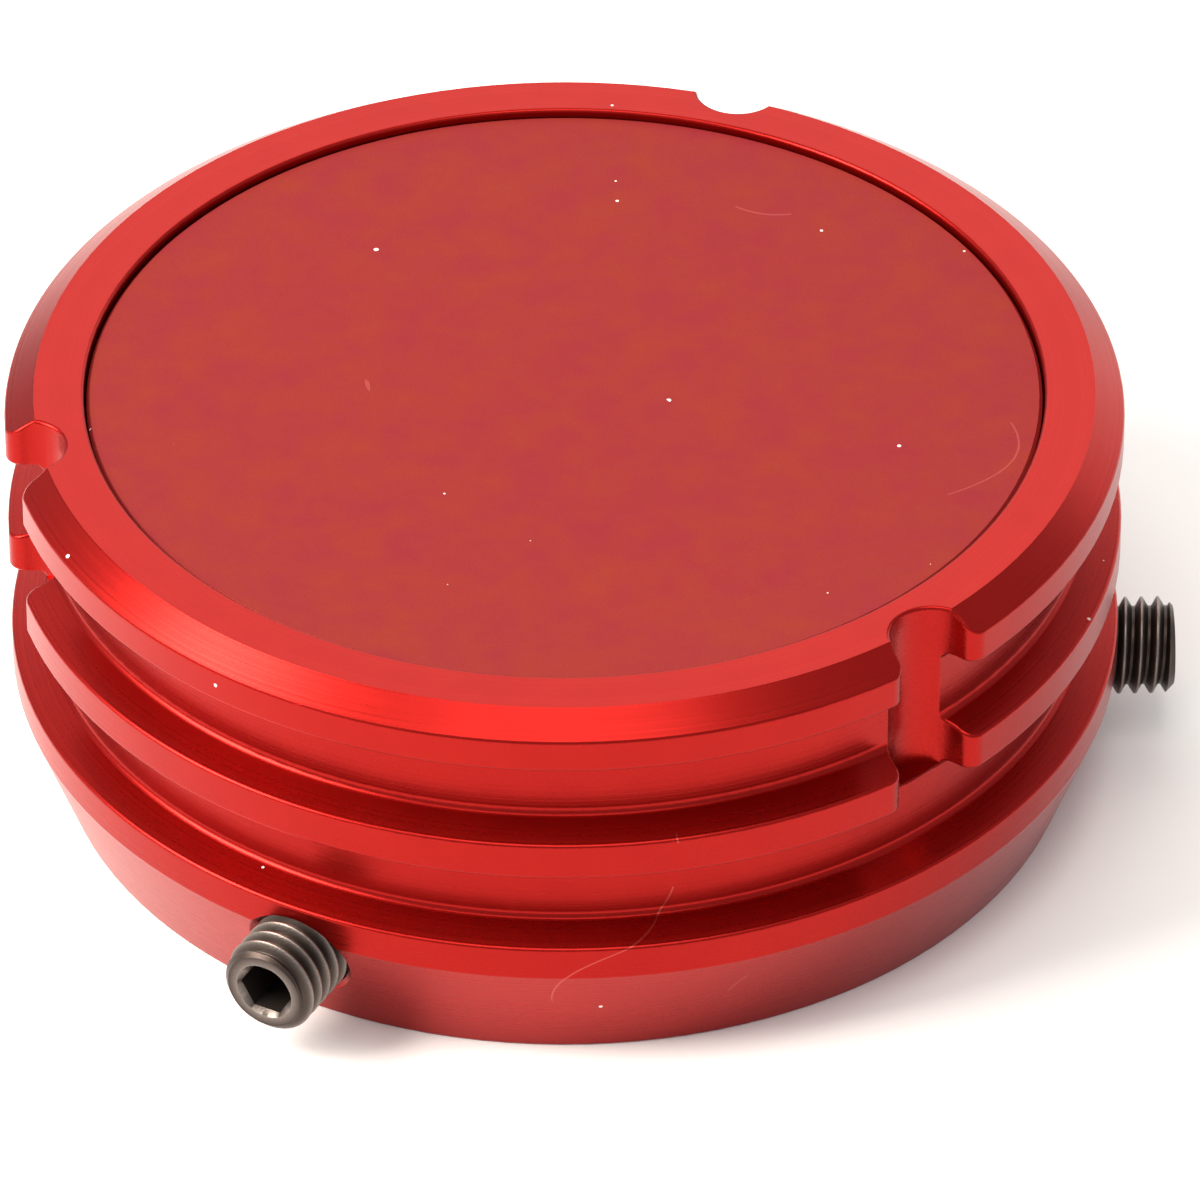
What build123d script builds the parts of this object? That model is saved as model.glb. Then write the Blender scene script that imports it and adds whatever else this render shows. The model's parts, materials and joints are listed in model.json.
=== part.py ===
from build123d import *
import os
from math import atan2, cos, degrees, hypot, radians, sin

# Blanking flange for the plain end of a 50 mm tube: a turned, anodised aluminium body with
# three lips and two ring grooves for a bayonet socket, closed by a separate face disc, and
# clamped on the tube by three radial grub screws.  Millimetres, +Z up, origin on the axis at
# the base face.  The first grub screw lies on +X.

# Body, outside
RIM_RADIUS = 34.0            # all three lips are turned to this radius
HEIGHT = 26.2
LAND_RADIUS = 32.2           # the flat top land ends here and the rim tapers down
TAPER_DROP = 1.3
GROOVE_RADIUS = 31.7         # wall at the back of both ring grooves
GROOVE_FILLET = 0.5
LIP_DROP = 0.78              # a lip's upper face falls this much from the groove to the rim
TURNING_ALLOWANCE = 0.3      # the blank is turned this much too wide, then cut to the rim circle
EDGE_BREAK = 0.22            # rounding of the lips, the notches and the rim
TOP_LIP_UNDERSIDE = HEIGHT - 3.4
MIDDLE_LIP_TOP = HEIGHT - 9.0
MIDDLE_LIP_UNDERSIDE = HEIGHT - 11.4
BASE_RING_TOP = HEIGHT - 16.8
BASE_RING_WALL_END = HEIGHT - 18.9
BASE_RADIUS = 31.3           # the base ring tapers in to this radius at the base face

# Body, inside
BORE_RADIUS = 25.0           # takes the tube
BORE_DEPTH = 16.2
BORE_CHAMFER = 0.5
SEAT_HOLE_RADIUS = 19.0      # opening in the ledge that the face disc closes
SEAT_LEVEL = 21.75           # the ledge's top face, which carries the disc
POCKET_RADIUS = 29.15
TUBE_SEAL_LEVEL = 12.2       # middle of the tube seal's groove
TUBE_SEAL_GROOVE_WIDTH = 2.4
TUBE_SEAL_GROOVE_RADIUS = 26.75

# Bayonet notches
NOTCH_COUNT = 3
NOTCH_RADIUS = 2.55
NOTCH_CENTRE_RADIUS = 33.2
NOTCH_MOUTH_ROUNDING = 1.0
NOTCH_DEPTH = 11.6
NOTCH_FIRST_ANGLE = 69.4

# Face disc
DISC_RADIUS = 29.0
DISC_TOP = 25.8
DISC_EDGE_BREAK = 0.2
FACE_SEAL_RADIUS = 26.2      # middle of the disc seal's groove
FACE_SEAL_GROOVE_WIDTH = 2.0
FACE_SEAL_GROOVE_DEPTH = 1.2

# Seal rings, squeezed to an oval section by their grooves
SEAL_SQUEEZE_GAP = 0.02
SEAL_SIDE_GAP = 0.2

# Disc screws, M3 x 5 socket heads driven up through the ledge
DISC_SCREW_COUNT = 4
DISC_SCREW_CIRCLE_RADIUS = 22.0
DISC_SCREW_FIRST_ANGLE = 45.0
DISC_SCREW_RADIUS = 1.5
DISC_SCREW_ROOT_RADIUS = 1.23
DISC_SCREW_PITCH = 0.5
DISC_SCREW_LENGTH = 5.0
DISC_SCREW_HOLE_RADIUS = 1.7
DISC_SCREW_TAPPED_RADIUS = 1.55
DISC_SCREW_TAPPED_DEPTH = 3.1
DISC_SCREW_HEAD_RADIUS = 2.75
DISC_SCREW_HEAD_HEIGHT = 3.0
DISC_SCREW_SINK_RADIUS = 3.1
DISC_SCREW_SINK_DEPTH = 3.2
DISC_SCREW_SOCKET = 2.5      # hexagon, across flats
DISC_SCREW_SOCKET_DEPTH = 1.6

# Grub screws, M6 x 1 x 10, and the pads that they push
SCREW_COUNT = 3
SCREW_LEVEL = 5.5
SCREW_HOLE_RADIUS = 3.05
SCREW_MOUTH_RADIUS = 3.55    # the hole's mouth is broken square to the base ring's wall
SCREW_MOUTH_DEPTH = 0.7
SCREW_CREST_RADIUS = 3.0
SCREW_ROOT_RADIUS = 2.43
SCREW_PITCH = 1.0
SCREW_END = 37.55            # outer end's distance from the axis, backed out
SCREW_LENGTH = 10.0
SCREW_END_CHAMFER = 0.5
SCREW_SOCKET = 3.0           # hexagon, across flats
SCREW_SOCKET_DEPTH = 3.5
NOSE_RADIUS = 1.2
NOSE_LENGTH = 0.8
PAD_RADIUS = 2.6
PAD_THICKNESS = 1.6
PAD_CUP_RADIUS = 1.28
PAD_CUP_DEPTH = 0.9
PAD_GAP = 0.03               # between the screw's shoulder and the pad
PAD_EDGE_BREAK = 0.25

THREAD_CREST_FLAT = 0.125    # share of the pitch
THREAD_ROOT_FLAT = 0.2
CUT_CLEARANCE = 1.0          # how far a cutting tool runs past the metal
TOUCH = 1e-3                 # two places nearer than this are the same place

SCREW_POINT = SCREW_END - SCREW_LENGTH
SCREW_ANGLES = [i * 360 / SCREW_COUNT for i in range(SCREW_COUNT)]


def radial_plane(angle, distance, level):
    """Plane across a radial line, its normal pointing away from the flange's axis."""
    outwards = Vector(cos(radians(angle)), sin(radians(angle)), 0)
    return Plane(origin=outwards * distance + Vector(0, 0, level), x_dir=(0, 0, 1), z_dir=outwards)


def around(count, first_angle, radius, level):
    """Upright places spread evenly round the axis."""
    angles = [first_angle + i * 360 / count for i in range(count)]
    return [Pos(radius * cos(radians(a)), radius * sin(radians(a)), level) for a in angles]


def upright_cylinder(radius, height):
    """Cylinder standing on the level plane."""
    return Cylinder(radius, height, align=(Align.CENTER, Align.CENTER, Align.MIN))


def turned(points, rounded=()):
    """Solid of revolution of a half section; rounded holds (corner places, radius) pairs."""
    with BuildSketch(Plane.XZ) as section:
        with BuildLine():
            Polyline(*points, close=True)
        make_face()
        for places, radius in rounded:
            corners = [
                v for v in section.vertices()
                if any(abs(v.X - x) + abs(v.Y - y) < TOUCH for x, y in places)
            ]
            fillet(corners, radius)
    return revolve(section.sketch, Axis.Z, 360)


def ring_cutter(inner_radius, outer_radius, low, high):
    """Flat ring of rectangular section that cuts a groove."""
    return turned([(inner_radius, low), (outer_radius, low), (outer_radius, high), (inner_radius, high)])


def hexagon_socket(across_flats, depth, top):
    """Cutter for a hexagon socket that opens upwards at the given level."""
    hexagon = RegularPolygon(across_flats / 2, 6, major_radius=False)
    return Pos(0, 0, top - depth) * extrude(hexagon, depth + CUT_CLEARANCE)


def threaded_rod(crest, root, pitch, length, end_chamfer):
    """Upright rod with one ridge for each turn of its thread, chamfered at both ends."""
    half_crest = THREAD_CREST_FLAT * pitch / 2
    half_root = THREAD_ROOT_FLAT * pitch / 2
    points = [(0, 0), (root, 0)]
    for turn in range(round(length / pitch)):
        middle = (turn + 0.5) * pitch
        points += [
            (root, middle - pitch / 2 + half_root),
            (crest, middle - half_crest),
            (crest, middle + half_crest),
            (root, middle + pitch / 2 - half_root),
        ]
    points += [(root, length), (0, length)]
    blank = upright_cylinder(crest, length)
    blank = chamfer(blank.edges().filter_by(GeomType.CIRCLE), end_chamfer)
    return turned(points) & blank


def on_slope(along, first, second):
    """Second coordinate at a given first one, on the straight line through two points."""
    share = (along - first[0]) / (second[0] - first[0])
    return first[1] + share * (second[1] - first[1])


def turned_blank():
    """The body as it leaves the first turning, sharp and a little too wide."""
    wide = RIM_RADIUS + TURNING_ALLOWANCE
    rim_taper = [(LAND_RADIUS, HEIGHT), (RIM_RADIUS, HEIGHT - TAPER_DROP)]
    middle_face = [(GROOVE_RADIUS, MIDDLE_LIP_TOP + LIP_DROP), (RIM_RADIUS, MIDDLE_LIP_TOP)]
    base_face = [(GROOVE_RADIUS, BASE_RING_TOP + LIP_DROP), (RIM_RADIUS, BASE_RING_TOP)]
    base_cone = [(BASE_RADIUS, 0), (RIM_RADIUS, BASE_RING_WALL_END)]
    outside = [
        base_cone[0],
        (wide, on_slope(wide, *base_cone)),
        (wide, on_slope(wide, *base_face)),
        base_face[0],
        (GROOVE_RADIUS, MIDDLE_LIP_UNDERSIDE),
        (wide, MIDDLE_LIP_UNDERSIDE),
        (wide, on_slope(wide, *middle_face)),
        middle_face[0],
        (GROOVE_RADIUS, TOP_LIP_UNDERSIDE),
        (wide, TOP_LIP_UNDERSIDE),
        (wide, on_slope(wide, *rim_taper)),
        rim_taper[0],
        (POCKET_RADIUS, HEIGHT),
    ]
    inside = [
        (POCKET_RADIUS, SEAT_LEVEL),
        (SEAT_HOLE_RADIUS, SEAT_LEVEL),
        (SEAT_HOLE_RADIUS, BORE_DEPTH),
        (BORE_RADIUS, BORE_DEPTH),
        (BORE_RADIUS, BORE_CHAMFER),
        (BORE_RADIUS + BORE_CHAMFER, 0),
    ]
    groove_corners = [
        base_face[0],
        (GROOVE_RADIUS, MIDDLE_LIP_UNDERSIDE),
        middle_face[0],
        (GROOVE_RADIUS, TOP_LIP_UNDERSIDE),
    ]
    plain_edges = [(BASE_RADIUS, 0), (POCKET_RADIUS, HEIGHT)]
    return turned(outside + inside, [(groove_corners, GROOVE_FILLET), (plain_edges, EDGE_BREAK)])


def distance_from(place, point):
    """Level distance of a point from a place's upright axis."""
    return hypot(point.X - place.position.X, point.Y - place.position.Y)


def notched_outline():
    """The rim circle seen from above, with its notches and their rounded mouths."""
    places = around(NOTCH_COUNT, NOTCH_FIRST_ANGLE, NOTCH_CENTRE_RADIUS, 0)
    with BuildSketch() as outline:
        Circle(RIM_RADIUS)
        with Locations(*places):
            Circle(NOTCH_RADIUS, mode=Mode.SUBTRACT)
        mouths = [
            corner for corner in outline.vertices()
            if any(abs(distance_from(place, corner) - NOTCH_RADIUS) < TOUCH for place in places)
        ]
        fillet(mouths, NOTCH_MOUTH_ROUNDING)
    return outline.sketch


def needs_breaking(edge, wall_line):
    """True for a lip's edge that follows the notched outline, and for the notch's edge on top."""
    points = [edge.position_at(share) for share in (0, 0.5, 1)]
    lowest = min(point.Z for point in points)
    reach = max(hypot(point.X, point.Y) for point in points)
    follows_wall = all(wall_line.distance_to(Vertex(p.X, p.Y, 0)) < TOUCH for p in points)
    upright = abs(edge.tangent_at(0.5).Z) > 1 - TOUCH
    on_lip = lowest > MIDDLE_LIP_UNDERSIDE - TOUCH or reach > RIM_RADIUS - TOUCH
    outside_groove = reach > GROOVE_RADIUS + GROOVE_FILLET or lowest > HEIGHT - TAPER_DROP - TOUCH
    return follows_wall and not upright and on_lip and outside_groove


def notched_body():
    """Blank cut to the rim circle, with its notches milled and its edges broken."""
    outline = notched_outline()
    floor = HEIGHT - NOTCH_DEPTH
    below = extrude(Circle(RIM_RADIUS), floor)
    above = Pos(0, 0, floor) * extrude(outline, NOTCH_DEPTH + CUT_CLEARANCE)
    body = turned_blank() & (below + above)
    wall_line = outline.faces()[0].outer_wire()
    return fillet([edge for edge in body.edges() if needs_breaking(edge, wall_line)], EDGE_BREAK)


def cut_screw_holes(body):
    """Bore the radial holes of the grub screws and break their mouths."""
    hole = upright_cylinder(SCREW_HOLE_RADIUS, RIM_RADIUS - BORE_RADIUS + 2 * CUT_CLEARANCE)
    mouth = Cone(
        SCREW_MOUTH_RADIUS - SCREW_MOUTH_DEPTH,
        SCREW_MOUTH_RADIUS + SCREW_MOUTH_DEPTH,
        2 * SCREW_MOUTH_DEPTH,
    )
    wall_lean = degrees(atan2(RIM_RADIUS - BASE_RADIUS, BASE_RING_WALL_END))
    wall_radius = on_slope(SCREW_LEVEL, (0, BASE_RADIUS), (BASE_RING_WALL_END, RIM_RADIUS))
    for angle in SCREW_ANGLES:
        body -= radial_plane(angle, BORE_RADIUS - CUT_CLEARANCE, SCREW_LEVEL) * hole
        body -= radial_plane(angle, wall_radius, SCREW_LEVEL) * Rot(0, -wall_lean, 0) * mouth
    return body


def flange_body():
    """Turned blank with its notches, screw holes, ledge holes and seal groove cut."""
    body = cut_screw_holes(notched_body())
    through = upright_cylinder(DISC_SCREW_HOLE_RADIUS, SEAT_LEVEL - BORE_DEPTH)
    sink = upright_cylinder(DISC_SCREW_SINK_RADIUS, DISC_SCREW_SINK_DEPTH)
    for place in disc_screw_places(BORE_DEPTH):
        body -= place * (through + sink)
    return body - ring_cutter(
        BORE_RADIUS - CUT_CLEARANCE,
        TUBE_SEAL_GROOVE_RADIUS,
        TUBE_SEAL_LEVEL - TUBE_SEAL_GROOVE_WIDTH / 2,
        TUBE_SEAL_LEVEL + TUBE_SEAL_GROOVE_WIDTH / 2,
    )


def blanking_disc():
    """Face disc: its seal groove and its tapped blind holes are on the underside."""
    disc = Pos(0, 0, SEAT_LEVEL) * upright_cylinder(DISC_RADIUS, DISC_TOP - SEAT_LEVEL)
    disc = chamfer(disc.edges().filter_by(GeomType.CIRCLE), DISC_EDGE_BREAK)
    tapped = upright_cylinder(DISC_SCREW_TAPPED_RADIUS, DISC_SCREW_TAPPED_DEPTH)
    for place in disc_screw_places(SEAT_LEVEL):
        disc -= place * tapped
    return disc - ring_cutter(
        FACE_SEAL_RADIUS - FACE_SEAL_GROOVE_WIDTH / 2,
        FACE_SEAL_RADIUS + FACE_SEAL_GROOVE_WIDTH / 2,
        SEAT_LEVEL,
        SEAT_LEVEL + FACE_SEAL_GROOVE_DEPTH,
    )


def seal_ring(centre_radius, centre_level, width, height):
    """Rubber ring with an oval section of the given radial width and height."""
    with BuildSketch(Plane.XZ) as section:
        with Locations((centre_radius, centre_level)):
            Ellipse(width / 2, height / 2)
    return revolve(section.sketch, Axis.Z, 360)


def disc_seal():
    """Face seal between the disc and the ledge."""
    return seal_ring(
        FACE_SEAL_RADIUS,
        SEAT_LEVEL + FACE_SEAL_GROOVE_DEPTH / 2,
        FACE_SEAL_GROOVE_WIDTH - SEAL_SIDE_GAP,
        FACE_SEAL_GROOVE_DEPTH - 2 * SEAL_SQUEEZE_GAP,
    )


def tube_seal():
    """Seal that lies in the bore's groove and grips the tube."""
    return seal_ring(
        (BORE_RADIUS + TUBE_SEAL_GROOVE_RADIUS) / 2,
        TUBE_SEAL_LEVEL,
        TUBE_SEAL_GROOVE_RADIUS - BORE_RADIUS - 2 * SEAL_SQUEEZE_GAP,
        TUBE_SEAL_GROOVE_WIDTH - SEAL_SIDE_GAP,
    )


def disc_screw():
    """Socket head screw, head down, the head's bearing face on the level plane."""
    head = Pos(0, 0, -DISC_SCREW_HEAD_HEIGHT) * upright_cylinder(
        DISC_SCREW_HEAD_RADIUS, DISC_SCREW_HEAD_HEIGHT
    )
    head = chamfer(head.edges().sort_by(Axis.Z)[0], DISC_EDGE_BREAK)
    socket = Pos(0, 0, -DISC_SCREW_HEAD_HEIGHT) * extrude(
        RegularPolygon(DISC_SCREW_SOCKET / 2, 6, major_radius=False), DISC_SCREW_SOCKET_DEPTH
    )
    rod = threaded_rod(
        DISC_SCREW_RADIUS, DISC_SCREW_ROOT_RADIUS, DISC_SCREW_PITCH, DISC_SCREW_LENGTH, DISC_EDGE_BREAK
    )
    return head - socket + rod


def disc_screw_places(level):
    """Where the disc screws stand."""
    return around(DISC_SCREW_COUNT, DISC_SCREW_FIRST_ANGLE, DISC_SCREW_CIRCLE_RADIUS, level)


def grub_screw():
    """Grub screw standing on its point, with a short nose that turns in the pad's cup."""
    rod = threaded_rod(
        SCREW_CREST_RADIUS, SCREW_ROOT_RADIUS, SCREW_PITCH, SCREW_LENGTH, SCREW_END_CHAMFER
    )
    rod -= hexagon_socket(SCREW_SOCKET, SCREW_SOCKET_DEPTH, SCREW_LENGTH)
    return rod + Pos(0, 0, -NOSE_LENGTH) * upright_cylinder(NOSE_RADIUS, NOSE_LENGTH)


def pressure_pad():
    """Brass pad just under the screw's point, with the cup that holds the screw's nose."""
    top = -PAD_GAP
    pad = Pos(0, 0, top - PAD_THICKNESS) * upright_cylinder(PAD_RADIUS, PAD_THICKNESS)
    pad = chamfer(pad.edges().filter_by(GeomType.CIRCLE), PAD_EDGE_BREAK)
    cup = Pos(0, 0, top - PAD_CUP_DEPTH) * upright_cylinder(PAD_CUP_RADIUS, PAD_CUP_DEPTH)
    return pad - cup


def all_parts():
    """Every sub-part in its place, by the name of its file."""
    parts = {
        "flange_body": flange_body(),
        "blanking_disc": blanking_disc(),
        "disc_seal": disc_seal(),
        "tube_seal": tube_seal(),
    }
    bearing_level = BORE_DEPTH + DISC_SCREW_SINK_DEPTH
    for number, place in enumerate(disc_screw_places(bearing_level), start=1):
        parts[f"disc_screw_{number}"] = place * disc_screw()
    for number, angle in enumerate(SCREW_ANGLES, start=1):
        place = radial_plane(angle, SCREW_POINT, SCREW_LEVEL)
        parts[f"grub_screw_{number}"] = place * grub_screw()
        parts[f"pressure_pad_{number}"] = place * pressure_pad()
    return parts


os.makedirs("parts", exist_ok=True)
for name, shape in all_parts().items():
    export_step(shape, f"parts/{name}.step")
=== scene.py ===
# %% [markdown]
# A blanking flange for the end of a 50 mm tube: a turned body with three lips and two ring
# grooves, a matte face disc let into its top, and three grub screws round its base.  The
# engineering model already gives every rigid part its exact shape and place.  This lesson adds
# what a product picture needs: camera, light, floor, anodised and blackened finishes, and
# helical threads on the screws.

# %% Load the fixed frame
import json
import math

import bmesh
import bpy
import numpy as np
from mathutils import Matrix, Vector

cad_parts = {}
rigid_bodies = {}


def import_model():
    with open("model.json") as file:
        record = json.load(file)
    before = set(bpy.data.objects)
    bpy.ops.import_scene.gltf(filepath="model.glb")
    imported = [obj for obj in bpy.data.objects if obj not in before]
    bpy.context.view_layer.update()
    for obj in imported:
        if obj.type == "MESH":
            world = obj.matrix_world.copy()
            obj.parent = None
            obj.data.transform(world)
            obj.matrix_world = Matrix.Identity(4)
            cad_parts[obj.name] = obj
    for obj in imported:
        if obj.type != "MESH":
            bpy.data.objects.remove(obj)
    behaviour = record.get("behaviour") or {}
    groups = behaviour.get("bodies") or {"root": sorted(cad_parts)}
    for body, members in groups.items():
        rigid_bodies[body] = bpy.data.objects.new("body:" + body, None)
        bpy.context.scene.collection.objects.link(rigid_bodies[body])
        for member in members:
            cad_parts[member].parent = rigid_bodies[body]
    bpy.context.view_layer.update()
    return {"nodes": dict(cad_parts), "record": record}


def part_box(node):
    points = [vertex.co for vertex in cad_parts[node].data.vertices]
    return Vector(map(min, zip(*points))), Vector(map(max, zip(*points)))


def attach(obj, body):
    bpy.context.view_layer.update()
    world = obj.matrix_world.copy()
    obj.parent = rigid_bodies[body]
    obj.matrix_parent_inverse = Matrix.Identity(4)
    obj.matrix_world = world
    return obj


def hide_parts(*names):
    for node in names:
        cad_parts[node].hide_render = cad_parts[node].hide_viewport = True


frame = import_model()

print("nodes:", ", ".join(sorted(frame["nodes"])))

# %% [markdown]
# The camera is a long lens a good way off, as a catalogue photographer uses, so the circles
# stay nearly true ellipses.  It looks down at 37 degrees and stands a little to one side of the
# first screw's direction.  The body's box gives the rim radius and the height, and the camera's
# place is worked out in rim radii, so it would follow the part if its size changed.

# %% Camera
body_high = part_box("flange_body")[1]
rim_radius = body_high.x
top_level = body_high.z

CAMERA_TILT = math.radians(37.09)        # below the horizon
CAMERA_TURN = math.radians(-1.65)        # round the object's axis
CAMERA_DISTANCE = 21.25 * rim_radius
CAMERA_SIDESTEP = 0.0634 * rim_radius
TARGET_LEVEL = top_level - 0.484 * rim_radius
SENSOR_WIDTH = 36.0
LENS_LENGTH = 352.5

backwards = np.array([
    math.sin(CAMERA_TURN) * math.cos(CAMERA_TILT),
    -math.cos(CAMERA_TURN) * math.cos(CAMERA_TILT),
    math.sin(CAMERA_TILT),
])
sideways = np.array([math.cos(CAMERA_TURN), math.sin(CAMERA_TURN), 0.0])
camera_place = backwards * CAMERA_DISTANCE + sideways * CAMERA_SIDESTEP
camera_place[2] += TARGET_LEVEL

camera = bpy.data.objects.new("camera", bpy.data.cameras.new("camera"))
camera.data.sensor_width = SENSOR_WIDTH
camera.data.lens = LENS_LENGTH
camera.data.clip_end = 10.0
camera.location = camera_place
camera.rotation_euler = (math.pi / 2 - CAMERA_TILT, 0.0, CAMERA_TURN)
bpy.context.scene.collection.objects.link(camera)
bpy.context.scene.camera = camera
print("camera at, mm:", np.round(camera_place * 1000, 1))

# %% [markdown]
# The part stands on a sheet of white paper.  Metal shows mostly what it reflects, so the room is
# as important as the lamps.  The room is an even pale dome.  One soft lamp stands close at the
# left and lights the part more than the other three.  One overhead is for the sloping faces in
# front, and two stand behind, for the flat rim and for the slopes on the right.  The lamps are a
# little warm and the room a little cool.  The plain view transform keeps the red strong and lets
# the paper go white.

# %% Floor and light
FLOOR_SIZE = 3.0
ROOM_COLOUR = (0.95, 0.97, 1.0, 1.0)
ROOM_STRENGTH = 0.58
LAMP_COLOUR = (1.0, 0.94, 0.84)


def linear(red, green, blue):
    """Linear colour from the 0-255 values of a screen: the usual sRGB curve, channel by channel."""
    channels = np.array([red, green, blue]) / 255.0
    curve = np.where(channels <= 0.04045, channels / 12.92, ((channels + 0.055) / 1.055) ** 2.4)
    return (*curve.tolist(), 1.0)


def new_material(name):
    """An empty node material with a Principled shader; returns its nodes, links and shader."""
    material = bpy.data.materials.new(name)
    material.use_nodes = True
    tree = material.node_tree
    tree.nodes.clear()
    shader = tree.nodes.new("ShaderNodeBsdfPrincipled")
    output = tree.nodes.new("ShaderNodeOutputMaterial")
    tree.links.new(shader.outputs["BSDF"], output.inputs["Surface"])
    return material, tree, shader


def mesh_piece(name, points, faces):
    """A mesh object made from an array of points and a list of faces."""
    mesh = bpy.data.meshes.new(name)
    mesh.from_pydata(points, [], faces)
    mesh.validate()
    piece = bpy.data.objects.new(name, mesh)
    bpy.context.scene.collection.objects.link(piece)
    return piece


half = FLOOR_SIZE / 2
corners = [(-half, -half, 0), (half, -half, 0), (half, half, 0), (-half, half, 0)]
floor = mesh_piece("floor", corners, [(0, 1, 2, 3)])
paper, tree, shader = new_material("paper")
shader.inputs["Base Color"].default_value = linear(252, 252, 252)
shader.inputs["Roughness"].default_value = 0.9
floor.data.materials.append(paper)


def soft_lamp(name, azimuth, elevation, distance, size, power):
    """A square area lamp aimed at the part: azimuth runs from +X, counter-clockwise."""
    lamp = bpy.data.lights.new(name, "AREA")
    lamp.shape = "SQUARE"
    lamp.size = size
    lamp.energy = power
    lamp.color = LAMP_COLOUR
    around, up = math.radians(azimuth), math.radians(elevation)
    direction = np.array([math.cos(around) * math.cos(up), math.sin(around) * math.cos(up), math.sin(up)])
    holder = bpy.data.objects.new(name, lamp)
    holder.location = direction * distance
    holder.rotation_euler = (math.pi / 2 - up, 0.0, around + math.pi / 2)
    bpy.context.scene.collection.objects.link(holder)
    return holder


world = bpy.data.worlds.new("room")
world.use_nodes = True
background = world.node_tree.nodes["Background"]
background.inputs["Color"].default_value = ROOM_COLOUR
background.inputs["Strength"].default_value = ROOM_STRENGTH
bpy.context.scene.world = world
bpy.context.scene.view_settings.view_transform = "Standard"
soft_lamp("left_softbox", azimuth=192, elevation=40, distance=0.6, size=0.3, power=6.0)
soft_lamp("overhead_softbox", azimuth=-95, elevation=74, distance=1.0, size=0.6, power=3.8)
soft_lamp("back_softbox", azimuth=92, elevation=40, distance=1.5, size=1.2, power=7.5)
soft_lamp("right_back_softbox", azimuth=48, elevation=14, distance=1.5, size=0.8, power=2.6)

# %% [markdown]
# Finishes come next.  The red is dyed oxide on turned aluminium: the metal shines through a
# clear skin, so the shader is a metal with a red base and a thin clear coat that turns pale at
# grazing angles.  What makes it look machined is small: rings left by the tool, a fine grain,
# dust and a few hairline scratches.  Each is a node group that gives out a value, so that any
# finish can use it with its own numbers, and the shaders stay in the materials.

# %% Helpers for node trees
def number(tree, operation, first, second=0.0, clamped=False):
    """A Math node; each input may be a number or another node's output."""
    node = tree.nodes.new("ShaderNodeMath")
    node.operation = operation
    node.use_clamp = clamped
    for socket, value in zip(node.inputs, (first, second)):
        if isinstance(value, (int, float)):
            socket.default_value = value
        else:
            tree.links.new(value, socket)
    return node.outputs["Value"]


def colour_between(tree, amount, first, second):
    """A colour that goes from the first to the second as the amount goes from 0 to 1."""
    node = tree.nodes.new("ShaderNodeMix")
    node.data_type = "RGBA"
    sockets = [socket for socket in node.inputs if socket.type == "RGBA"]
    tree.links.new(amount, node.inputs[0])
    for socket, value in zip(sockets, (first, second)):
        if isinstance(value, tuple):
            socket.default_value = value
        else:
            tree.links.new(value, socket)
    return next(socket for socket in node.outputs if socket.type == "RGBA")


def noise(tree, place, scale, detail, dimensions="3D"):
    """A Noise Texture's value, 0 to 1, at the given place."""
    node = tree.nodes.new("ShaderNodeTexNoise")
    node.noise_dimensions = dimensions
    node.inputs["Detail"].default_value = detail
    tree.links.new(place, node.inputs["Vector"])
    if isinstance(scale, (int, float)):
        node.inputs["Scale"].default_value = scale
    else:
        tree.links.new(scale, node.inputs["Scale"])
    return node.outputs["Fac"]


def new_group(name, inputs, output_names):
    """An empty shader node group with number or vector inputs and number outputs."""
    group = bpy.data.node_groups.new(name, "ShaderNodeTree")
    for label, kind, value in inputs:
        socket = group.interface.new_socket(name=label, in_out="INPUT", socket_type=kind)
        if value is not None:
            socket.default_value = value
    for label in output_names:
        group.interface.new_socket(name=label, in_out="OUTPUT", socket_type="NodeSocketFloat")
    return group, group.nodes.new("NodeGroupInput"), group.nodes.new("NodeGroupOutput")


def place_group(tree, group, **values):
    """A group set into a material; a name_like_this sets the socket Name Like This."""
    node = tree.nodes.new("ShaderNodeGroup")
    node.node_tree = group
    for label, value in values.items():
        socket = node.inputs[label.replace("_", " ").title()]
        if isinstance(value, (int, float)):
            socket.default_value = value
        else:
            tree.links.new(value, socket)
    return node


# %% [markdown]
# A lathe leaves rings, so its marks depend only on the distance from the axis and on the level.
# Noise read at (radius, level) gives rings on a face, and level lines on a wall.

# %% Turning marks
turning_marks, entry, leave = new_group(
    "turning_marks", [("Rings Per Metre", "NodeSocketFloat", 3000.0)], ["Mark"]
)
where = turning_marks.nodes.new("ShaderNodeTexCoord").outputs["Object"]
apart = turning_marks.nodes.new("ShaderNodeSeparateXYZ")
turning_marks.links.new(where, apart.inputs["Vector"])
across_squared = number(turning_marks, "MULTIPLY", apart.outputs["X"], apart.outputs["X"])
along_squared = number(turning_marks, "MULTIPLY", apart.outputs["Y"], apart.outputs["Y"])
radius = number(turning_marks, "SQRT", number(turning_marks, "ADD", across_squared, along_squared))
ring_place = turning_marks.nodes.new("ShaderNodeCombineXYZ")
turning_marks.links.new(radius, ring_place.inputs["X"])
turning_marks.links.new(apart.outputs["Z"], ring_place.inputs["Y"])
rings = noise(turning_marks, ring_place.outputs["Vector"], entry.outputs["Rings Per Metre"], 3.0, "2D")
turning_marks.links.new(number(turning_marks, "SUBTRACT", rings, 0.5), leave.inputs["Mark"])
print("turning marks read the radius and the level")

# %% [markdown]
# Grain is fine noise for blasted, cast or oxidised surfaces, with slow patches under it where the
# dye or the oxide took a little more or less.

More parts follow.
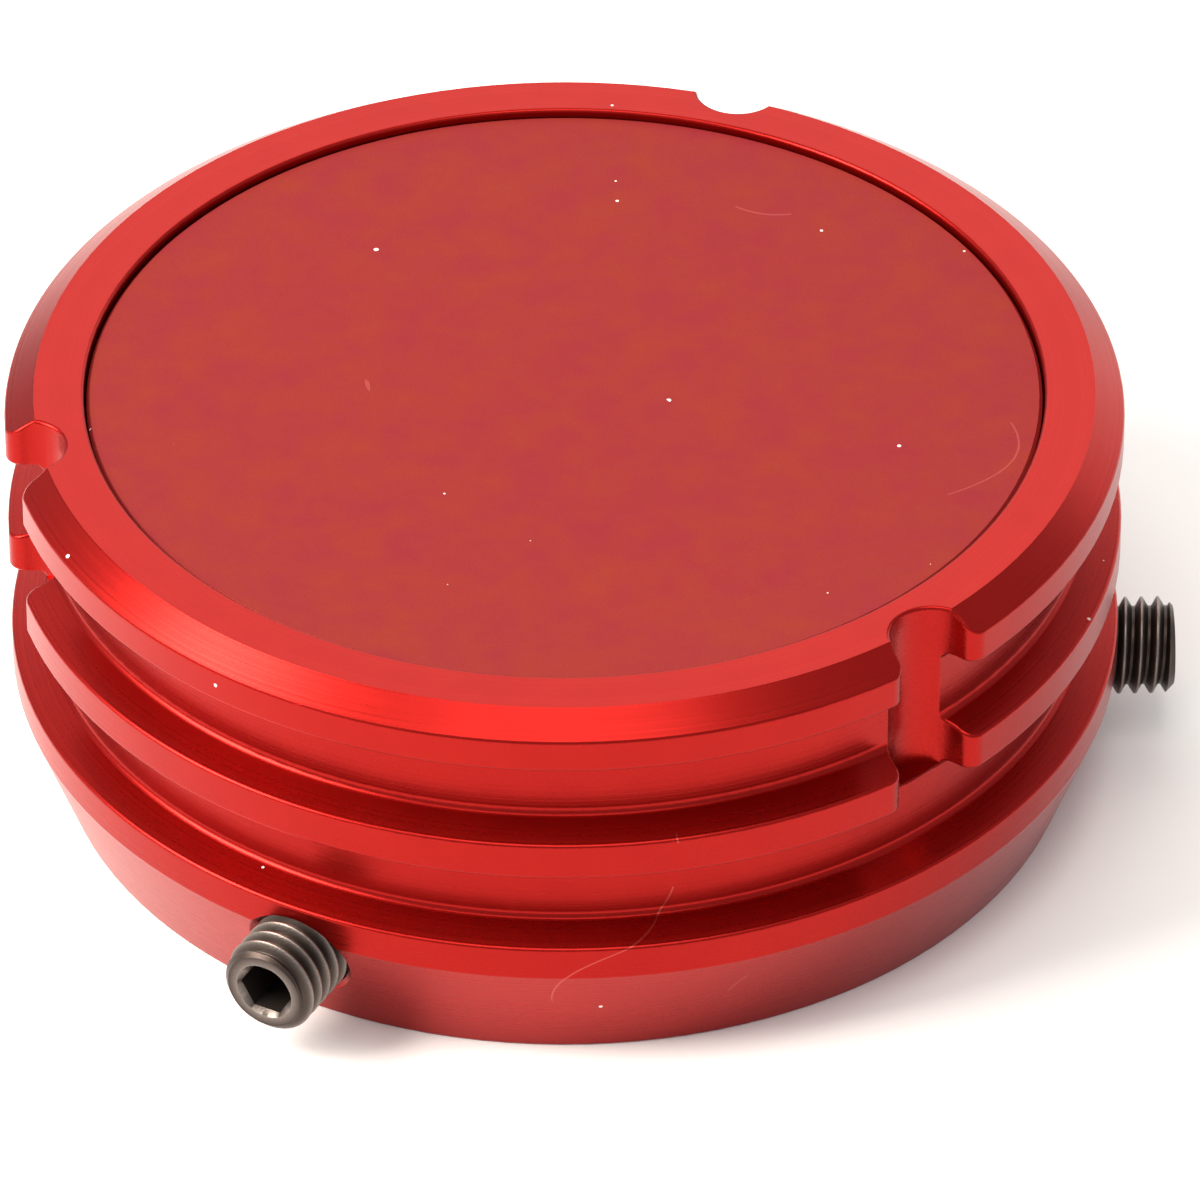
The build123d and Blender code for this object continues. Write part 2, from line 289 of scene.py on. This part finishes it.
# %% Grain
PATCH_SHARE = 0.045          # patches are this much coarser than the grain
grain, entry, leave = new_group(
    "grain", [("Grains Per Metre", "NodeSocketFloat", 6000.0)], ["Grain", "Patch"]
)
where = grain.nodes.new("ShaderNodeTexCoord").outputs["Object"]
fine_scale = entry.outputs["Grains Per Metre"]
grain.links.new(noise(grain, where, fine_scale, 2.0), leave.inputs["Grain"])
coarse_scale = number(grain, "MULTIPLY", fine_scale, PATCH_SHARE)
grain.links.new(noise(grain, where, coarse_scale, 4.0), leave.inputs["Patch"])
print("grain reads object coordinates")

# %% [markdown]
# Dust is a scatter of single specks.  A Voronoi pattern gives each cell one point and one
# random colour: the colour decides whether the cell has a speck and how large it is, and the
# distance from the point draws it.

# %% Dust specks
dust, entry, leave = new_group(
    "dust_specks",
    [
        ("Place", "NodeSocketVector", None),
        ("Cells Per Metre", "NodeSocketFloat", 800.0),
        ("Share", "NodeSocketFloat", 0.04),
    ],
    ["Speck"],
)
SMALLEST_SPECK = 0.04        # in cells
SPECK_RANGE = 0.1
cells = dust.nodes.new("ShaderNodeTexVoronoi")
dust.links.new(entry.outputs["Place"], cells.inputs["Vector"])
dust.links.new(entry.outputs["Cells Per Metre"], cells.inputs["Scale"])
dice = dust.nodes.new("ShaderNodeSeparateColor")
dust.links.new(cells.outputs["Color"], dice.inputs["Color"])
has_speck = number(dust, "LESS_THAN", dice.outputs["Red"], entry.outputs["Share"])
spread = number(dust, "MULTIPLY", dice.outputs["Green"], dice.outputs["Green"])
speck_size = number(dust, "ADD", number(dust, "MULTIPLY", spread, SPECK_RANGE), SMALLEST_SPECK)
inside = number(dust, "LESS_THAN", cells.outputs["Distance"], speck_size)
dust.links.new(number(dust, "MULTIPLY", inside, has_speck), leave.inputs["Speck"])
print("dust has one speck at most in each cell")

# %% [markdown]
# A hairline scratch is where a slow noise passes through its middle value: that is a thin curved
# line.  A second noise lets only a few short lengths of those lines through.

# %% Hairline scratches
scratches, entry, leave = new_group(
    "hairline_scratches",
    [
        ("Place", "NodeSocketVector", None),
        ("Lines Per Metre", "NodeSocketFloat", 60.0),
        ("Width", "NodeSocketFloat", 0.0025),
    ],
    ["Scratch"],
)
SCRATCH_PATCH = 1.7          # the letting-through noise is this much finer
SCRATCH_RARITY = 0.62
line_noise = noise(scratches, entry.outputs["Place"], entry.outputs["Lines Per Metre"], 0.0)
off_line = number(scratches, "ABSOLUTE", number(scratches, "SUBTRACT", line_noise, 0.5))
on_line = number(scratches, "LESS_THAN", off_line, entry.outputs["Width"])
patch_scale = number(scratches, "MULTIPLY", entry.outputs["Lines Per Metre"], SCRATCH_PATCH)
let_through = number(
    scratches, "GREATER_THAN", noise(scratches, entry.outputs["Place"], patch_scale, 1.0), SCRATCH_RARITY
)
scratches.links.new(number(scratches, "MULTIPLY", on_line, let_through), leave.inputs["Scratch"])
print("scratches follow the middle value of a slow noise")

# %% [markdown]
# The body's red.  Over the metal base the dye varies a little in patches, the turning marks
# change the roughness and tilt the surface slightly, dust is pale and rough, and scratches are pale.
# The clear coat stands for the sealed oxide skin.

# %% Red anodised metal
def object_place(tree):
    """The piece's own coordinates."""
    return tree.nodes.new("ShaderNodeTexCoord").outputs["Object"]


def bumped(tree, shader, height, distance):
    """Tilts the surface by a height field that is the given distance, in metres, high."""
    bump = tree.nodes.new("ShaderNodeBump")
    bump.inputs["Distance"].default_value = distance
    tree.links.new(height, bump.inputs["Height"])
    tree.links.new(bump.outputs["Normal"], shader.inputs["Normal"])


DUST_COLOUR = linear(236, 214, 208)

METAL_SHARE = 0.88           # the rest scatters inside the dyed skin

anodised, tree, shader = new_material("red_anodised_turned")
place = object_place(tree)
marks = place_group(tree, turning_marks, rings_per_metre=5200.0).outputs["Mark"]
skin = place_group(tree, grain, grains_per_metre=7000.0)
specks = place_group(tree, dust, place=place, cells_per_metre=800.0, share=0.02).outputs["Speck"]
hairlines = place_group(tree, scratches, place=place, lines_per_metre=55.0, width=0.0016).outputs["Scratch"]
dye = colour_between(tree, skin.outputs["Patch"], (0.315, 0.0050, 0.0045, 1.0), (0.360, 0.0080, 0.0045, 1.0))
marred = number(tree, "MULTIPLY", hairlines, 0.25)
dye = colour_between(tree, marred, dye, linear(214, 120, 112))
dye = colour_between(tree, specks, dye, DUST_COLOUR)
tree.links.new(dye, shader.inputs["Base Color"])
clean = number(tree, "SUBTRACT", 1.0, specks)
tree.links.new(number(tree, "MULTIPLY", clean, METAL_SHARE), shader.inputs["Metallic"])
rough = number(tree, "ADD", number(tree, "MULTIPLY", marks, 0.14), 0.27)
rough = number(tree, "ADD", rough, number(tree, "MULTIPLY", skin.outputs["Grain"], 0.05))
tree.links.new(number(tree, "ADD", rough, number(tree, "MULTIPLY", specks, 0.4)), shader.inputs["Roughness"])
shader.inputs["Coat Weight"].default_value = 0.04
shader.inputs["Coat Roughness"].default_value = 0.22
heights = number(tree, "ADD", marks, number(tree, "MULTIPLY", skin.outputs["Grain"], 0.3))
bumped(tree, shader, heights, 6e-6)
print("made", anodised.name)

# %% [markdown]
# The face disc is blasted before it is dyed, so it has no rings and scatters light softly.  Its
# grain is about a tenth of a millimetre, its colour wanders a little between a cooler and a
# warmer red, and dust shows on it more than anywhere else.

# %% Red matte face
BLASTED_METAL_SHARE = 0.6    # a blasted skin scatters more of the light

matte, tree, shader = new_material("red_anodised_blasted")
place = object_place(tree)
blasted = place_group(tree, grain, grains_per_metre=9000.0)
specks = place_group(tree, dust, place=place, cells_per_metre=800.0, share=0.05).outputs["Speck"]
hairlines = place_group(tree, scratches, place=place, lines_per_metre=42.0, width=0.0012).outputs["Scratch"]
wander = number(tree, "SUBTRACT", number(tree, "MULTIPLY", blasted.outputs["Patch"], 2.2), 0.6, clamped=True)
dye = colour_between(tree, wander, (0.29, 0.010, 0.020, 1.0), (0.31, 0.022, 0.008, 1.0))
shade = number(tree, "MULTIPLY", blasted.outputs["Grain"], 0.35)
dye = colour_between(tree, shade, dye, (0.23, 0.010, 0.008, 1.0))
dye = colour_between(tree, number(tree, "MULTIPLY", hairlines, 0.2), dye, linear(214, 120, 112))
dye = colour_between(tree, specks, dye, DUST_COLOUR)
tree.links.new(dye, shader.inputs["Base Color"])
clean = number(tree, "SUBTRACT", 1.0, specks)
tree.links.new(number(tree, "MULTIPLY", clean, BLASTED_METAL_SHARE), shader.inputs["Metallic"])
rough = number(tree, "ADD", number(tree, "MULTIPLY", blasted.outputs["Grain"], 0.12), 0.56)
tree.links.new(rough, shader.inputs["Roughness"])
bumped(tree, shader, blasted.outputs["Grain"], 1.6e-5)
print("made", matte.name)

# %% [markdown]
# The grub screws are blackened steel.  The oxide is dark brown-grey with a fine grain.  Its
# colour is painted lighter on the crests of the thread and round the edges of the end: partly
# rubbed oxide, partly a painted highlight.  The screw's mesh carries a value for that, worked out with its
# shape.

# %% Blackened steel
blackened, tree, shader = new_material("blackened_steel")
oxide = place_group(tree, grain, grains_per_metre=9000.0)
# Lightening value from the mesh: painted highlight on crests and edges, partly rubbed oxide.
wear_highlight_node = tree.nodes.new("ShaderNodeAttribute")
wear_highlight_node.attribute_name = "wear_and_highlight"
patchiness = number(tree, "ADD", oxide.outputs["Grain"], 0.35)
rubbed_and_highlit = number(tree, "MULTIPLY", wear_highlight_node.outputs["Fac"], patchiness, clamped=True)
tone = colour_between(tree, oxide.outputs["Patch"], linear(52, 42, 39), linear(74, 63, 58))
# Painted highlight: crests and end edges go towards a lit grey, partly standing for rubbed oxide.
tone = colour_between(tree, rubbed_and_highlit, tone, linear(140, 130, 124))
tree.links.new(tone, shader.inputs["Base Color"])
shader.inputs["Metallic"].default_value = 0.85
rough = number(tree, "ADD", number(tree, "MULTIPLY", oxide.outputs["Grain"], 0.2), 0.3)
tree.links.new(rough, shader.inputs["Roughness"])
bumped(tree, shader, oxide.outputs["Grain"], 1.2e-5)
print("made", blackened.name)

# %% [markdown]
# Three finishes are seen only from below.  The disc's screws are zinc plated, with a faint
# crystal bloom; the seals are moulded rubber, nearly black and dull; the pads are turned brass
# that has begun to tarnish in patches.

# %% Zinc, rubber and brass
def plain_finish(name, first, second, metallic, roughness, grains, depth):
    """A finish that wanders between two colours, with a grain of the given size and depth."""
    material, tree, shader = new_material(name)
    texture = place_group(tree, grain, grains_per_metre=grains)
    tree.links.new(colour_between(tree, texture.outputs["Patch"], first, second), shader.inputs["Base Color"])
    shader.inputs["Metallic"].default_value = metallic
    rough = number(tree, "MULTIPLY", texture.outputs["Patch"], 0.2)
    tree.links.new(number(tree, "ADD", rough, roughness), shader.inputs["Roughness"])
    bumped(tree, shader, texture.outputs["Grain"], depth)
    return material


zinc = plain_finish("zinc_plate", linear(178, 180, 184), linear(206, 206, 202), 1.0, 0.24, 6000.0, 4e-6)
rubber = plain_finish("moulded_rubber", linear(24, 24, 25), linear(40, 39, 38), 0.0, 0.55, 8000.0, 1.5e-5)
brass = plain_finish("tarnished_brass", linear(196, 158, 84), linear(150, 112, 58), 1.0, 0.28, 5000.0, 5e-6)

FINISHES = {
    "red_anodised": anodised,
    "red_matte_face": matte,
    "black_oxide_steel": blackened,
    "plain_steel": zinc,
    "black_rubber": rubber,
    "brass": brass,
}
for subpart in frame["record"]["subparts"]:
    node = bpy.data.objects[subpart["node"]]
    for material_slot in node.material_slots:
        material_slot.material = FINISHES[subpart["material_slot"]]

# %% [markdown]
# A grub screw is one closed skin: nose, shoulder, helical thread, end face and hexagon socket.
# The thread could be a swept triangle cut into a rod, but one grid is cleaner.  Each row of the
# grid is itself a helix, so the crest and the root run along rows and stay sharp.  Row k and
# turn angle a give the distance along the screw, pitch x (k / rows per turn + a / 2 pi), cut off
# at the two ends, and the column after the last joins the row one whole turn further on.
# Known fault: the angle runs the wrong way round, so the thread is left-handed.  A real grub
# screw is right-handed.

# %% Screw sizes
MM = 0.001
first_low, first_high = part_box("grub_screw_1")
SCREW_PITCH = 1.0 * MM
CREST_RADIUS = (first_high.z - first_low.z) / 2
SCREW_AXIS_LEVEL = (first_high.z + first_low.z) / 2
NOSE_LENGTH = 0.8 * MM
NOSE_RADIUS = 1.2 * MM
SCREW_LENGTH = first_high.x - first_low.x - NOSE_LENGTH
THREAD_DEPTH = 0.57 * MM
ROOT_RADIUS = CREST_RADIUS - THREAD_DEPTH
END_CHAMFER = 0.55 * MM
SOCKET_FLATS = 3.0 * MM
SOCKET_DEPTH = 3.5 * MM
SOCKET_MOUTH = 1.86 * MM     # radius where the socket's countersink meets the end face
CREST_SHARE = 0.0625         # of the pitch, from the middle of a crest to its edge
ROOT_START = 0.4             # of the pitch, from the middle of a crest to the root
CREASE_ANGLE = math.radians(28)
ROWS_PER_TURN = 24
COLUMNS = 96
print("screw length and radius, mm:", round(SCREW_LENGTH / MM, 2), round(CREST_RADIUS / MM, 2))


# %% Thread and socket shapes
def thread_radius(along, turn):
    """Radius of the thread: a 60 degree V with flat crest and root, cut back by the end chamfers.

    The phase is the distance from the nearest crest in pitches.  The flank falls in a straight
    line between the crest flat and the root flat.
    """
    phase = np.abs((along / SCREW_PITCH - turn / (2 * np.pi) + 0.5) % 1.0 - 0.5)
    flank = np.clip((phase - CREST_SHARE) / (ROOT_START - CREST_SHARE), 0.0, 1.0)
    radius = CREST_RADIUS - flank * (CREST_RADIUS - ROOT_RADIUS)
    near_end = np.minimum(along, SCREW_LENGTH - along)
    return np.minimum(radius, CREST_RADIUS - END_CHAMFER + near_end)


def socket_radius(turn):
    """Radius of a hexagon: half the size across flats, over the cosine from the nearest flat."""
    from_flat = (turn + np.pi / 6) % (np.pi / 3) - np.pi / 6
    return SOCKET_FLATS / 2 / np.cos(from_flat)


def plain_ring(along, radius, wear_and_highlight):
    """One ring of the skin: distance along the screw, radius and painted wear-and-highlight value, the same
    all round.
    """
    return np.full(COLUMNS, along), np.broadcast_to(radius, (COLUMNS,)), np.full(COLUMNS, wear_and_highlight)


# %% [markdown]
# The rings before and after the thread close the skin: the nose with its rounded tip, and the
# end face with the countersunk hexagon.  The painted wear-and-highlight value is high on the crests and
# edges.

# %% Grub screws
def screw_skin():
    """Distance along, radius and painted wear-and-highlight value of every ring of the skin, from the nose to
    the socket.
    """
    turn = np.arange(COLUMNS) * 2 * np.pi / COLUMNS
    nose = [
        plain_ring(-NOSE_LENGTH, 0.0, 0.1),
        plain_ring(-NOSE_LENGTH, NOSE_RADIUS - 0.25 * MM, 0.3),
        plain_ring(-NOSE_LENGTH + 0.08 * MM, NOSE_RADIUS - 0.08 * MM, 0.3),
        plain_ring(-NOSE_LENGTH + 0.25 * MM, NOSE_RADIUS, 0.2),
        plain_ring(-0.02 * MM, NOSE_RADIUS, 0.0),
        plain_ring(0.0, NOSE_RADIUS + 0.02 * MM, 0.0),
    ]
    turns = round(SCREW_LENGTH / SCREW_PITCH)
    row = np.arange(-ROWS_PER_TURN, (turns + 1) * ROWS_PER_TURN + 1)[:, None]
    along = np.clip(SCREW_PITCH * (row / ROWS_PER_TURN + turn / (2 * np.pi)), 0.0, SCREW_LENGTH)
    radius = thread_radius(along, turn)
    crest_share = (radius - ROOT_RADIUS) / (CREST_RADIUS - ROOT_RADIUS)
    # Painted highlight on the crests, partly rubbed oxide: the value rises steeply towards the crest.
    wear_and_highlight = np.clip(crest_share, 0.0, 1.0) ** 4
    hexagon = socket_radius(turn)
    mouth = np.maximum(hexagon, SOCKET_MOUTH)
    # The end's outer edge and the socket's mouth are painted lighter too: partly rubbed, partly a painted
    # highlight.
    end = [
        (np.full(COLUMNS, SCREW_LENGTH), mouth + 0.12 * MM, np.full(COLUMNS, 0.5)),
        (np.full(COLUMNS, SCREW_LENGTH - 0.03 * MM), mouth, np.full(COLUMNS, 0.8)),
        (np.full(COLUMNS, SCREW_LENGTH - 0.35 * MM), hexagon, np.full(COLUMNS, 0.2)),
        (np.full(COLUMNS, SCREW_LENGTH - SOCKET_DEPTH), hexagon, np.zeros(COLUMNS)),
        plain_ring(SCREW_LENGTH - SOCKET_DEPTH - 0.5 * MM, 0.0, 0.0),
    ]
    before = [np.array(part) for part in zip(*nose)]
    after = [np.array(part) for part in zip(*end)]
    skin = [np.vstack(parts) for parts in zip(before, (along, radius, wear_and_highlight), after)]
    return turn, len(nose), len(row), skin


def screw_faces(before, threaded, total):
    """Quads of the grid; on thread rows the last column joins the row one turn further on."""
    lower = np.arange(total - 1)[:, None]
    column = np.arange(COLUMNS)[None, :]
    wraps = column == COLUMNS - 1
    last_thread = before + threaded - 1
    row = np.arange(total)
    on_thread = (row >= before) & (row <= last_thread)
    turned_on = np.where(on_thread, np.minimum(row + ROWS_PER_TURN, last_thread), row)
    next_column = np.where(wraps, 0, column + 1)
    lower_next = np.where(wraps, turned_on[lower], lower)
    upper_next = np.where(wraps, turned_on[lower + 1], lower + 1)
    quads = np.stack(
        [
            lower * COLUMNS + column,
            lower_next * COLUMNS + next_column,
            upper_next * COLUMNS + next_column,
            (lower + 1) * COLUMNS + column,
        ],
        axis=-1,
    )
    return quads.reshape(-1, 4)


def grub_screw(name, outwards):
    """A grub screw whose nose points at the axis; outwards is the unit vector along it."""
    turn, before, threaded, (along, radius, wear_and_highlight) = screw_skin()
    outwards = np.array(outwards)
    up = np.array([0.0, 0.0, 1.0])
    side = np.cross(outwards, up)
    start = outwards * (first_high.x - SCREW_LENGTH) + up * SCREW_AXIS_LEVEL
    circle = np.cos(turn)[:, None] * up - np.sin(turn)[:, None] * side
    points = start + along[..., None] * outwards + radius[..., None] * circle
    mesh = bpy.data.meshes.new(name)
    mesh.from_pydata(points.reshape(-1, 3), [], screw_faces(before, threaded, len(along)).tolist())
    value = mesh.attributes.new("wear_and_highlight", "FLOAT", "POINT")
    value.data.foreach_set("value", wear_and_highlight.reshape(-1).astype(np.float32))
    skin = bmesh.new()
    skin.from_mesh(mesh)
    bmesh.ops.remove_doubles(skin, verts=skin.verts, dist=1e-7)
    bmesh.ops.dissolve_degenerate(skin, edges=skin.edges, dist=1e-7)
    bmesh.ops.recalc_face_normals(skin, faces=skin.faces)
    open_edges = sum(1 for edge in skin.edges if not edge.is_manifold)
    skin.to_mesh(mesh)
    skin.free()
    mesh.polygons.foreach_set("use_smooth", np.ones(len(mesh.polygons), dtype=bool))
    mesh.set_sharp_from_angle(angle=CREASE_ANGLE)
    piece = bpy.data.objects.new(name, mesh)
    bpy.context.scene.collection.objects.link(piece)
    mesh.materials.append(blackened)
    print(name, "faces:", len(mesh.polygons), "open edges:", open_edges)
    return piece


for joint in frame["record"]["behaviour"]["joints"]:
    if joint["type"] == "hinge":
        number_on_screw = joint["child"].rsplit("_", 1)[1]
        screw = grub_screw(f"threaded_grub_screw_{number_on_screw}", joint["axis"])
        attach(screw, joint["child"])
        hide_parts(f"grub_screw_{number_on_screw}")
